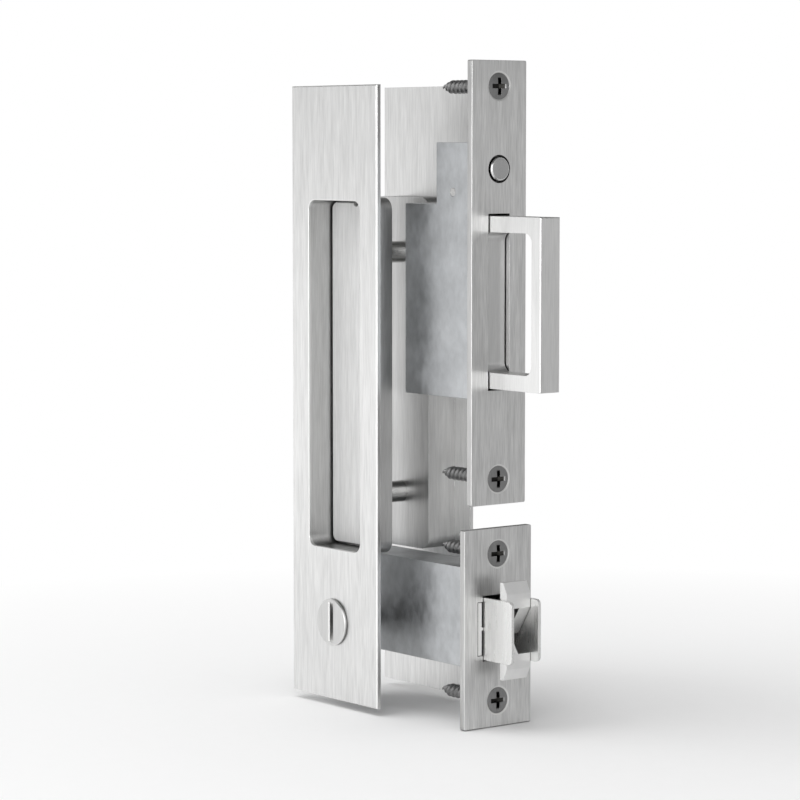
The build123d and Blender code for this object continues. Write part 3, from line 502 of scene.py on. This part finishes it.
@dataclass
class SteelShop:
    """Turns finishes into materials and hands them to pieces.

    Attributes:
        groups: the shared effects.
        made: the materials so far, by name.
        hair_share: share of the fine streaks in the brushing.
        band_share: share of the broad bands in it.
        light_share: how far the brushing lightens the colour, beside how far it darkens it.
        rim_turned: the normal's share along the highlight axis where a bevel leaves the front and its painted
            highlight begins.
        rim_side: the same where it meets the side.
        shade_fade: length over which the painted shade of a box begins.
        sill_turned: the normal's upward share where the upward painted shade begins and is full.
        blackened_fade: length over which the near black stretch begins.
        bump_depth: depth of the brushing's bump.
        bevel_samples: rays that round an edge.
    """

    groups: EffectGroups
    made: dict[str, bpy.types.Material] = field(default_factory=dict)
    hair_share: float = 0.6
    band_share: float = 0.4
    light_share: float = 0.5
    rim_turned: Span = (0.99, 0.94)
    rim_side: Span = (0.05, 0.20)
    shade_fade: float = 0.4 * MM
    sill_turned: Span = (0.3, 0.9)
    blackened_fade: float = 0.2 * MM
    bump_depth: float = 0.01 * MM
    bevel_samples: int = 6

    def brushed(self, write: NodeWriter, finish: SteelFinish, grain: Any) -> Socket:
        """The steel's colour with its brushing.

        Fine streaks and broad bands are added in fixed shares, and move the colour from dark to light.

        Args:
            write: the material's writer.
            finish: the steel finish.
            grain: outputs of the grain group.

        Returns:
            The colour.
        """
        streaks = write.math("MULTIPLY", grain["Grain"], self.hair_share)
        bands = write.math("MULTIPLY", grain["Band"], self.band_share)
        dark = rgba(finish.base, 1.0 - finish.grain)
        light = rgba(finish.base, 1.0 + self.light_share * finish.grain)
        return write.blend(write.math("ADD", streaks, bands), dark, light)

    def painted_rim_highlights(self, write: NodeWriter, finish: SteelFinish, normal: Socket, color: Socket) -> Socket:
        """The colour with a painted highlight on the bevels between fronts and sides.

        The mask follows the normal's share along the rim axis. It is 0 on the fronts and on the sides, and 1
        on the bevels between them.

        Args:
            write: the material's writer.
            finish: the steel finish.
            normal: the surface's plain normal.
            color: the colour so far.

        Returns:
            The new colour.
        """
        if finish.highlight_axis is None:
            return color
        facing = write.math("ABSOLUTE", write.split(normal)[finish.highlight_axis.value])
        rim = write.math("MULTIPLY", write.ramp(facing, self.rim_turned), write.ramp(facing, self.rim_side))
        # Painted highlight on the bevels.
        return write.blend(rim, color, rgba(finish.worn_and_highlight))

    def painted_box_shade(
        self, write: NodeWriter, finish: SteelFinish, place: Socket, normal: Socket, color: Socket
    ) -> Socket:
        """The colour with painted shade on the surfaces inside the shade box, and the most where they face
        up.

        Args:
            write: the material's writer.
            finish: the steel finish.
            place: the surface's object coordinates.
            normal: the surface's plain normal.
            color: the colour so far.

        Returns:
            The new colour.
        """
        if not finish.shade_box:
            return color
        spot = write.split(place)
        mask: Any = 1.0
        for axis, low, high in finish.shade_box:
            inside = write.window(spot[axis.value], (low, high), self.shade_fade)
            mask = write.math("MULTIPLY", mask, inside)
        sill = write.ramp(write.split(normal)["Z"], self.sill_turned)
        tone = write.blend(sill, grey(finish.shade_tone), grey(finish.upward_shade_tone))
        # Painted shade: the colour is multiplied by the tone inside the box.
        return write.blend(mask, color, write.blend(1.0, color, tone, "MULTIPLY"))

    def blackened_and_shaded(self, write: NodeWriter, finish: SteelFinish, place: Socket, color: Socket) -> Socket:
        """The colour with the blackened stretch near black, and with painted shade in the gaps.

        Args:
            write: the material's writer.
            finish: the steel finish.
            place: the surface's object coordinates.
            color: the colour so far.

        Returns:
            The new colour.
        """
        # A stretch along X is coloured near black.
        if finish.blackened_span is not None:
            blackened_mask = write.window(write.split(place)["X"], finish.blackened_span, self.blackened_fade)
            color = write.blend(blackened_mask, color, rgba(NEAR_BLACK))
        # Painted shade: the colour turns near black where neighbours close in.
        grime = write.group(self.groups.grime, Reach=finish.gap_shade_reach)["Grime"]
        return write.blend(grime, color, rgba(NEAR_BLACK))

    def material(self, finish: SteelFinish) -> bpy.types.Material:
        """Builds a finish's material once.

        Args:
            finish: the steel finish.

        Returns:
            Its material.
        """
        if finish.name in self.made:
            return self.made[finish.name]
        material, write = blank_material(finish.name)
        place = write.add("ShaderNodeTexCoord").outputs["Object"]
        normal = write.add("ShaderNodeNewGeometry").outputs["Normal"]
        rounded = write.add("ShaderNodeBevel", {"Radius": finish.edge_radius}, samples=self.bevel_samples)
        stretch = [finish.across] * 3
        stretch[finish.axis.value] = finish.along
        grain = write.group(self.groups.grain, Coordinates=place, Stretch=stretch)
        wear = write.group(
            self.groups.wear, Coordinates=place, Plain=normal, Rounded=rounded.outputs["Normal"]
        )["Wear"]
        smudge = write.group(self.groups.smudge, Coordinates=place)["Smudge"]
        color = write.blend(wear, self.brushed(write, finish, grain), rgba(finish.worn_and_highlight))
        color = self.painted_rim_highlights(write, finish, normal, color)
        color = self.painted_box_shade(write, finish, place, normal, color)
        color = self.blackened_and_shaded(write, finish, place, color)
        half = finish.rough_spread / 2
        rough = write.ramp(grain["Grain"], (0.0, 1.0), (finish.roughness - half, finish.roughness + half))
        rough = write.math("ADD", rough, write.math("MULTIPLY", smudge, finish.smudge))
        rough = write.math("SUBTRACT", rough, write.math("MULTIPLY", wear, finish.polish))
        bump = write.add("ShaderNodeBump", {
            "Strength": finish.relief, "Distance": self.bump_depth, "Height": grain["Grain"],
            "Normal": rounded.outputs["Normal"],
        })
        surface = write.add("ShaderNodeBsdfPrincipled", {
            "Base Color": color, "Metallic": finish.metallic, "Roughness": rough,
            "Normal": bump.outputs["Normal"],
        })
        write.add("ShaderNodeOutputMaterial", {"Surface": surface.outputs["BSDF"]})
        self.made[finish.name] = material
        LOG.info("finish %s", finish.name)
        return material

    def dress(self, piece: bpy.types.Object, finish: SteelFinish) -> None:
        """Gives a piece one finish all over.

        Args:
            piece: the object to dress.
            finish: the steel finish.
        """
        material = self.material(finish)
        if not piece.material_slots:
            piece.data.materials.append(material)
        for slot in piece.material_slots:
            slot.material = material
        LOG.info("dressed %s in %s", piece.name, finish.name)


def grid_mesh(name: str, grids: list[np.ndarray], closed: bool, smooth: bool = False) -> bpy.types.Mesh:
    """Makes a mesh from grids of points with four-sided faces between neighbours.

    Args:
        name: the mesh's name.
        grids: points as arrays of rows, columns and three coordinates, each a surface of its own.
        closed: whether the last column joins the first. The first and last rows are then capped.
        smooth: whether the faces are shaded as one round surface.

    Returns:
        The mesh, with faces that point outwards.
    """
    faces: list[list[int]] = []
    first = 0
    for grid in grids:
        rows, columns = grid.shape[:2]
        index = first + np.arange(rows * columns).reshape(rows, columns)
        beside = np.roll(index, -1, axis=1) if closed else index[:, 1:]
        here = index if closed else index[:, :-1]
        quads = np.stack([here[:-1], beside[:-1], beside[1:], here[1:]], axis=-1).reshape(-1, 4)
        faces += quads.tolist()
        if closed:
            faces += [index[0, ::-1].tolist(), index[-1].tolist()]
        first += rows * columns
    mesh = bpy.data.meshes.new(name)
    mesh.from_pydata(np.concatenate([grid.reshape(-1, 3) for grid in grids]).tolist(), [], faces)
    mesh.polygons.foreach_set("use_smooth", np.full(len(mesh.polygons), smooth))
    mesh.update()
    return mesh


@dataclass
class WoodScrewThreads:
    """Cut threads of the wood screws behind the two faceplates, in millimetres.

    Attributes:
        shop: where the finish comes from.
        start: X where the thread begins.
        tip: X where it ends.
        cone: X where the core starts to taper.
        point: how far past the thread's end the core's point lies.
        core: the core's radius.
        crest: the thread's outer radius.
        foot: share of the core's radius at which the thread's feet lie, inside the core.
        blunt: share of its full height that the thread reaches.
        pitch: advance in one turn.
        flank: half the thread's width at its feet.
        land: half its width at the crest.
        tip_height: share of its height that is left at the tip.
        tip_width: share of its width that is left at the tip.
        steps: points in one turn.
    """

    shop: SteelShop
    start: float = -13.5
    tip: float = -31.6
    cone: float = -26.3
    point: float = 0.6
    core: float = 1.9
    crest: float = 2.5
    foot: float = 0.9
    blunt: float = 0.98
    pitch: float = 2.3
    flank: float = 0.62
    land: float = 0.08
    tip_height: float = 0.35
    tip_width: float = 0.4
    steps: int = 56

    def ridge(self, height: float) -> np.ndarray:
        """One thread as a narrow-topped profile carried along a helix.

        The helix runs from start to tip at one pitch. The crest's radius fades in over the first turn and
        falls with the core's cone to the point, and the profile's two feet lie inside the core.

        Args:
            height: the screw axis's height.

        Returns:
            The grid of points, in metres.
        """
        turns = (self.start - self.tip) / self.pitch
        t = np.linspace(0.0, 1.0, int(turns * self.steps))
        x = self.start + (self.tip - self.start) * t
        angle = 2.0 * math.pi * turns * t
        taper = np.clip((x - self.tip + self.point) / (self.cone - self.tip + self.point), 0.0, 1.0)
        fade = np.clip(t * turns, 0.0, 1.0)
        rise = np.minimum(fade, self.tip_height + (1.0 - self.tip_height) * taper)
        root = self.core * taper * self.foot
        crest = root + (self.crest - self.core * self.foot) * rise * self.blunt
        radius = np.stack([root, crest, crest, root], axis=1)
        narrowing = self.tip_width + (1.0 - self.tip_width) * taper
        shift = np.array([self.flank, self.land, -self.land, -self.flank]) * narrowing[:, None]
        along = x[:, None] + shift
        spin = angle[:, None]
        grid = np.stack([along, radius * np.cos(spin), height + radius * np.sin(spin)], axis=-1)
        return grid * MM

    def build(self) -> list[bpy.types.Object]:
        """Builds the four threads and lets them ride with the mounted set.

        Returns:
            The new pieces.
        """
        pieces = []
        for row in ScrewRow:
            middle, spacing = row.value
            for label, side in (("lower", -1), ("upper", 1)):
                name = f"{row.name.lower()}_screw_thread_{label}"
                mesh = grid_mesh(name, [self.ridge(middle + side * spacing / 2.0)], True)
                piece = add_object(name, mesh)
                self.shop.dress(piece, SCREW_STEEL)
                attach(piece, "mounted_set")
                pieces.append(piece)
                LOG.info("built %s with %d faces", name, len(mesh.polygons))
        return pieces


@dataclass
class CoilSprings:
    """One node's compression springs, which shorten towards their rear seats, in millimetres.

    Attributes:
        shop: where the finish comes from.
        node: the node that the springs stand for.
        joint: the joint that presses them. Not used.
        travel: how far it presses them. Not used.
        radius: the coil's radius to the middle of the wire.
        wire: the wire's radius.
        turns: turns from seat to seat.
        steps: points in one turn.
        ring: points round the wire.
    """

    shop: SteelShop
    node: str
    joint: str
    travel: float
    radius: float
    wire: float
    turns: int
    steps: int = 40
    ring: int = 12

    def coil(self, rear: float, front: float, height: float) -> np.ndarray:
        """The wire's circle carried along a helix from the rear seat to the front one.

        The helix turns about a line along X at one pitch. The circle is spanned by the helix's radius and by
        the line square to that radius and to the helix.

        Args:
            rear: the rear seat's X.
            front: the front seat's X.
            height: the coil axis's height.

        Returns:
            The grid of points, in metres.
        """
        advance = (front - rear - 2.0 * self.wire) / (2.0 * math.pi * self.turns)
        angle = np.linspace(0.0, 2.0 * math.pi * self.turns, self.turns * self.steps + 1)
        still = np.zeros_like(angle)
        out = np.stack([still, np.sin(angle), -np.cos(angle)], axis=1)
        axis = np.stack([rear + self.wire + advance * angle, still, still + height], axis=1)
        line = np.stack([still + advance, self.radius * np.cos(angle), self.radius * np.sin(angle)], axis=1)
        line /= np.linalg.norm(line, axis=1)[:, None]
        square = np.cross(line, out)
        turn = np.linspace(0.0, 2.0 * math.pi, self.ring, endpoint=False)[None, :, None]
        circle = np.cos(turn) * out[:, None] + np.sin(turn) * square[:, None]
        return ((axis + self.radius * out)[:, None] + self.wire * circle) * MM

    def build(self) -> bpy.types.Object:
        """Builds the node's springs as one piece that stands for it and rides with the mounted set.

        The axes lie one coil and wire radius inside the node's box, so a pair stands at its two ends.

        Returns:
            The new piece.
        """
        low, high = (np.array(corner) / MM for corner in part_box(self.node))
        reach = self.radius + self.wire
        heights = sorted({round(low[2] + reach, 2), round(high[2] - reach, 2)})
        name = f"{self.node}_coiled"
        mesh = grid_mesh(name, [self.coil(low[0], high[0], height) for height in heights], True, smooth=True)
        piece = add_object(name, mesh)
        self.shop.dress(piece, SPRING_STEEL)
        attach(piece, "mounted_set")
        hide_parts(self.node)
        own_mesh(piece)
        LOG.info("built %s with %d coils", name, len(heights))
        return piece


@dataclass
class DressedNodes:
    """A sub-assembly's carried-over nodes. Each sub-assembly lists their finishes."""

    shop: SteelShop
    nodes: dict[str, bpy.types.Object]
    finishes: ClassVar[dict[str, SteelFinish]] = {}

    def dress(self) -> None:
        """Dresses every node of the sub-assembly."""
        for name, finish in self.finishes.items():
            self.shop.dress(self.nodes[name], finish)


class FlushTrims(DressedNodes):
    """The two flush plates with their panels, turns and through fixings."""

    finishes: ClassVar[dict[str, SteelFinish]] = {
        "outside_plate": PLATE_SATIN, "inside_plate": PLATE_SATIN,
        "outside_panel": PANEL_SATIN, "inside_panel": PANEL_SATIN,
        "coin_turn": TURN_SATIN, "thumb_turn": TURN_SATIN,
        "outside_turn_clip": SPRING_STEEL, "inside_turn_clip": SPRING_STEEL,
        "fixing_posts": PIN_STEEL, "fixing_screws": SCREW_STEEL, "spindle": PIN_STEEL,
    }


class EdgeLock(DressedNodes):
    """The faceplate, claw bolt and case of the lock."""

    finishes: ClassVar[dict[str, SteelFinish]] = {
        "lock_faceplate": FACE_SATIN, "bolt_guides": GUIDE_SATIN, "lock_screws": SCREW_STEEL,
        "lock_case": ZINC_STEEL, "case_cover": ZINC_STEEL, "case_pillars": PIN_STEEL,
        "case_screws": SCREW_STEEL, "lock_hub": PIN_STEEL, "detent_leaf": SPRING_STEEL,
        "bolt_cheek_outside": BOLT_SATIN, "bolt_cheek_inside": BOLT_SATIN, "bolt_tail": CLAW_STEEL,
        "bolt_rivets": PIN_STEEL, "claw_pivot_pin": PIN_STEEL,
        "upper_claw": CLAW_STEEL, "lower_claw": CLAW_STEEL,
    }


class EdgePull(DressedNodes):
    """The edge plate with its sprung pull, release button and catch."""

    finishes: ClassVar[dict[str, SteelFinish]] = {
        "edge_plate": FACE_SATIN, "edge_screws": SCREW_STEEL, "edge_housing": ZINC_STEEL,
        "housing_screws": SCREW_STEEL, "pull_handle": PULL_SATIN, "pull_springs": SPRING_STEEL,
        "release_button": BUTTON_SATIN, "button_spring": SPRING_STEEL,
        "catch_lever": CLAW_STEEL, "catch_pin": PIN_STEEL,
    }


@dataclass
class Softbox:
    """One rectangular lamp that faces a target.

    Attributes:
        name: the lamp's name.
        place: its middle.
        width: its level side.
        height: its other side.
        glow: its radiance.
        gloss: whether gloss sees it.
        target: the point that it faces.
    """

    name: str
    place: Point
    width: float
    height: float
    glow: float
    gloss: bool = True
    target: Point = (-0.03, 0.0, 0.09)

    def build(self) -> bpy.types.Object:
        """Hangs the lamp. Its power is glow times pi times its area.

        Returns:
            The lamp.
        """
        lamp = bpy.data.lights.new(self.name, "AREA")
        lamp.shape = "RECTANGLE"
        lamp.size = self.width
        lamp.size_y = self.height
        lamp.energy = self.glow * math.pi * self.width * self.height
        holder = add_object(self.name, lamp)
        holder.location = self.place
        holder.visible_glossy = self.gloss
        aim = Vector(self.target) - Vector(self.place)
        holder.rotation_euler = aim.to_track_quat("-Z", "Y").to_euler()
        LOG.info("lamp %s", self.name)
        return holder


@dataclass
class Card:
    """A reflector card that only gloss sees, upright or level.

    Attributes:
        name: the card's name.
        place: its middle.
        width: its level side.
        height: its upright side, or the level one that points at the set.
        glow: its radiance at the foot and at the head.
        fade: heights between which the glow goes from the first to the second.
        level: whether it lies level.
        middle: X of the set's middle, which it faces.
    """

    name: str
    place: Point
    width: float
    height: float
    glow: Span
    fade: Span = (0.0, 0.2)
    level: bool = False
    middle: float = -0.02

    def build(self) -> bpy.types.Object:
        """Hangs the card, upright and facing the middle of the set or level above or below it.

        The card is a flat grid spanned by two unit vectors: the upright, or the level line towards the
        set, and the level line square to it.

        Returns:
            The card.
        """
        centre = np.array(self.place)
        toward = np.array((self.middle - centre[0], -centre[1], 0.0))
        toward /= np.linalg.norm(toward)
        upright = np.array((0.0, 0.0, 1.0))
        side = np.cross(upright, toward)
        rise = toward if self.level else upright
        u, v = np.meshgrid(np.linspace(-0.5, 0.5, 2), np.linspace(-0.5, 0.5, 2), indexing="ij")
        grid = centre + u[..., None] * self.width * side + v[..., None] * self.height * rise
        card = add_object(self.name, grid_mesh(self.name, [grid], False))
        material, write = blank_material(self.name)
        place = write.add("ShaderNodeTexCoord").outputs["Object"]
        strength = write.ramp(write.split(place)["Z"], self.fade, self.glow)
        light = write.add("ShaderNodeEmission", {"Strength": strength})
        write.add("ShaderNodeOutputMaterial", {"Surface": light.outputs[0]})
        card.data.materials.append(material)
        card.visible_camera = False
        card.visible_diffuse = False
        card.visible_shadow = False
        card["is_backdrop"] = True
        LOG.info("card %s", self.name)
        return card


@dataclass
class Studio:
    """Pale floor, white surround, soft lamps, cards and the camera.

    Attributes:
        floor_height: the floor's Z.
        floor_half: half the floor's side.
        floor_rows: points along the floor's side.
        floor_tone: the floor's tone at its lightest.
        speck_scale: specks of the floor per metre.
        speck_detail: finer layers of the specks.
        speck_tone: tone of a speck beside the floor's lightest.
        seen_fade: distances over which the floor turns white to the camera.
        gloss_fade: distances over which it turns white to gloss.
        ambient: strength of the surround as a light.
        lamps: the lamps.
        cards: the reflector cards.
        camera_place: where the camera stands.
        camera_aim: the direction that it looks in.
        lens: its focal length in millimetres.
        sensor: its sensor's width in millimetres.
        sight: how far it sees.
    """

    floor_height: float
    floor_half: float = 4.0
    floor_rows: int = 9
    floor_tone: float = 0.90
    speck_scale: float = 160.0
    speck_detail: float = 4.0
    speck_tone: float = 0.985
    seen_fade: Span = (0.12, 0.42)
    gloss_fade: Span = (0.05, 0.14)
    ambient: float = 0.55
    lamps: tuple[Softbox, ...] = (
        Softbox("overhead_softbox", (-0.25, -0.35, 1.15), 1.0, 1.0, glow=2.7, gloss=False),
        Softbox("edge_strip", (0.49, -0.63, 0.15), 0.16, 0.8, glow=3.2),
    )
    cards: tuple[Card, ...] = (
        Card("right_card", (0.27, 0.21, 0.36), 0.9, 0.8, glow=(0.51, 0.69), fade=(0.11, 0.19)),
        Card("upper_right_card", (0.262, 0.204, 0.49), 0.9, 0.54, glow=(0.34, 0.34)),
        Card("left_card", (-0.52, -0.41, 0.36), 1.1, 0.8, glow=(1.32, 0.87), fade=(0.05, 0.17)),
        Card("front_card", (0.75, -0.66, 0.36), 1.1, 0.8, glow=(1.10, 1.10)),
        Card("back_card", (-0.60, 0.50, 0.36), 1.1, 0.8, glow=(0.15, 0.15)),
        Card("floor_card", (0.14, 0.11, -0.0356), 0.6, 0.3, glow=(0.54, 0.54), level=True),
        Card("ceiling_card", (-0.05, -0.01, 0.78), 1.5, 1.5, glow=(0.12, 0.12), level=True),
    )
    camera_place: Point = (0.82156, -0.68755, 0.17253)
    camera_aim: Point = (-0.7847, 0.6141, -0.0845)
    lens: float = 135.73
    sensor: float = 36.0
    sight: float = 50.0

    def build(self) -> None:
        """Builds the whole studio."""
        self.floor()
        self.surround()
        for lamp in self.lamps:
            lamp.build()
        for card in self.cards:
            card.build()
        self.camera()
        bpy.context.scene.view_settings.view_transform = "Standard"

    def floor(self) -> None:
        """Lays a pale floor that takes the shadow near the object and fades to the white surround.

        The floor is a level square of evenly spaced points. It turns white with the distance from the
        origin, sooner to gloss than to the camera.
        """
        line = np.linspace(-self.floor_half, self.floor_half, self.floor_rows)
        u, v = np.meshgrid(line, line, indexing="ij")
        grid = np.stack([u, v, np.full_like(u, self.floor_height)], axis=-1)
        floor = add_object("floor", grid_mesh("floor", [grid], False))
        material, write = blank_material("pale_floor")
        place = write.add("ShaderNodeTexCoord").outputs["Object"]
        reach = write.vector("LENGTH", place)["Value"]
        light = write.add("ShaderNodeLightPath").outputs
        gloss = write.math("MAXIMUM", light["Is Glossy Ray"], light["Is Transmission Ray"])
        far = write.math("MULTIPLY", write.ramp(reach, self.seen_fade), light["Is Camera Ray"])
        near = write.math("MULTIPLY", write.ramp(reach, self.gloss_fade), gloss)
        speck = write.add(
            "ShaderNodeTexNoise", {"Vector": place, "Scale": self.speck_scale, "Detail": self.speck_detail}
        )
        darker = grey(self.floor_tone * self.speck_tone)
        tone = write.blend(speck.outputs["Fac"], darker, grey(self.floor_tone))
        matte = write.add("ShaderNodeBsdfDiffuse", {"Color": tone})
        white = write.add("ShaderNodeEmission", {"Strength": 1.0})
        mask = write.math("MAXIMUM", far, near)
        mixed = write.add("ShaderNodeMixShader", {0: mask, 1: matte.outputs[0], 2: white.outputs[0]})
        write.add("ShaderNodeOutputMaterial", {"Surface": mixed.outputs[0]})
        floor.data.materials.append(material)
        floor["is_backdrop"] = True
        LOG.info("floor at %.4f m", self.floor_height)

    def surround(self) -> None:
        """Makes the world white to the camera and to gloss, and a soft ambient light to the rest."""
        world = bpy.data.worlds.new("white_surround")
        world.use_nodes = True
        world.node_tree.nodes.clear()
        write = NodeWriter(world.node_tree)
        light = write.add("ShaderNodeLightPath").outputs
        seen = write.math("MAXIMUM", light["Is Camera Ray"], light["Is Glossy Ray"])
        seen = write.math("MAXIMUM", seen, light["Is Transmission Ray"])
        ambient = write.add("ShaderNodeBackground", {"Color": WHITE, "Strength": self.ambient})
        white = write.add("ShaderNodeBackground", {"Color": WHITE, "Strength": 1.0})
        mixed = write.add("ShaderNodeMixShader", {0: seen, 1: ambient.outputs[0], 2: white.outputs[0]})
        write.add("ShaderNodeOutputWorld", {"Surface": mixed.outputs[0]})
        bpy.context.scene.world = world
        LOG.info("surround")

    def camera(self) -> None:
        """Stands the camera at the photograph's viewing angle."""
        data = bpy.data.cameras.new("portrait_camera")
        data.lens = self.lens
        data.sensor_width = self.sensor
        data.clip_end = self.sight
        holder = add_object("portrait_camera", data)
        holder.location = self.camera_place
        holder.rotation_euler = Vector(self.camera_aim).to_track_quat("-Z", "Y").to_euler()
        bpy.context.scene.camera = holder
        LOG.info("camera")


def main() -> None:
    """Loads the frame, dresses every piece, builds the studio and measures the set's bounds for the floor."""
    logging.basicConfig(level=logging.INFO, format="%(name)s %(message)s")
    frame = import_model()
    cad_box = [list(corner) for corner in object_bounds()]
    shop = SteelShop(EffectGroups())
    for assembly in (FlushTrims, EdgeLock, EdgePull):
        assembly(shop, frame["nodes"]).dress()
    WoodScrewThreads(shop).build()
    CoilSprings(shop, "pull_springs", "pull_slide", travel=27.8, radius=3.1, wire=0.4, turns=7).build()
    CoilSprings(shop, "button_spring", "button_push", travel=2.5, radius=3.3, wire=0.35, turns=3).build()
    Studio(floor_height=cad_box[0][2] - FLOOR_GAP).build()


if __name__ == "__main__":
    main()
